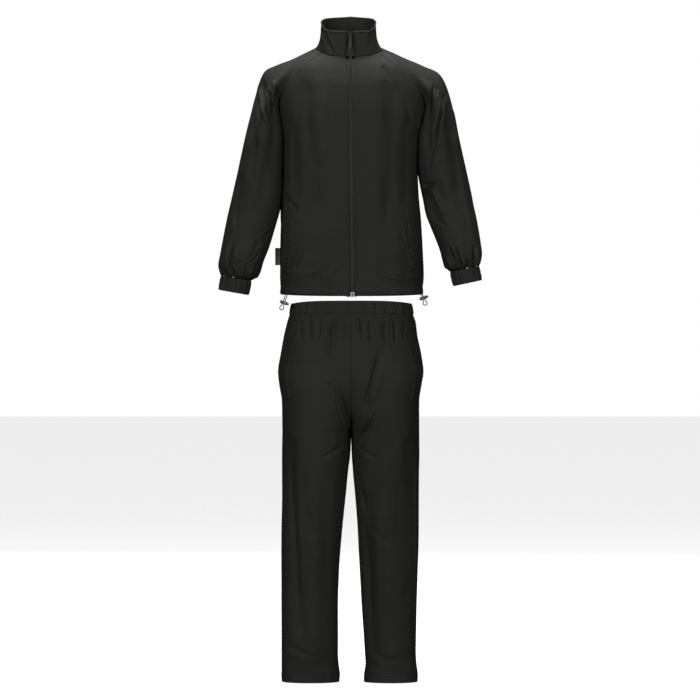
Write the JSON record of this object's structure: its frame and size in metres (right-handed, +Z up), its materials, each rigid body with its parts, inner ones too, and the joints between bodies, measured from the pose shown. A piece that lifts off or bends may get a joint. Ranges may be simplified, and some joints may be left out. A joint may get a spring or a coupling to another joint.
{
  "type": "tracksuit",
  "caption": "Zipped stand-collar track jacket with raglan sleeves above straight elastic-waist trousers, both held in a worn, filled-out shape and open inside.",
  "frame": {"origin": "centre of the neck base, where the wearer's shoulders carry the jacket", "axes": "+Z up the wearer, -Y out of the front, -X to the wearer's right"},
  "size_m": [0.7221, 0.2805, 1.8352],
  "materials": {
    "cloth": "black plain-woven polyester with a soft sheen",
    "elastic": "the same black cloth gathered over elastic",
    "trim": "black woven tape",
    "cord": "black braided elastic cord",
    "chain": "black moulded zip teeth",
    "slider": "black enamel",
    "box": "grey moulded plastic",
    "cord_lock": "black gloss moulded plastic"
  },
  "bodies": {
    "suit": {"front_left": "cloth", "front_right": "cloth", "back": "cloth", "hem_front_left": "cloth", "hem_front_right": "cloth", "hem_back": "cloth", "sleeve_left": "cloth", "sleeve_right": "cloth", "cuff_left": "elastic", "cuff_right": "elastic", "collar": "cloth", "zip_guard": "trim", "zip_tape_left": "trim", "zip_tape_right": "trim", "zip_chain": "chain", "zip_slider": "slider", "zip_box": "box", "pocket_welt_left": "cloth", "pocket_welt_right": "cloth", "side_label": "trim", "hem_cord_left": "cord", "hem_cord_right": "cord", "cord_lock_left": "cord_lock", "cord_lock_left_button": "cord_lock", "cord_lock_right": "cord_lock", "cord_lock_right_button": "cord_lock", "trouser_front_left": "cloth", "trouser_front_right": "cloth", "trouser_back_left": "cloth", "trouser_back_right": "cloth", "waistband": "elastic", "pocket_edge_left": "cloth", "pocket_edge_right": "cloth", "leg_hem_left": "cloth", "leg_hem_right": "cloth"},
    "pull": {"zip_pull": "slider"}
  },
  "joints": [
    {"name": "zip_pull_swing", "type": "hinge", "parent": "suit", "child": "pull", "pos_m": [-0.0023, -0.0683, 0.033], "axis": [-1, 0, 0], "range_deg": [0, 150]}
  ]
}
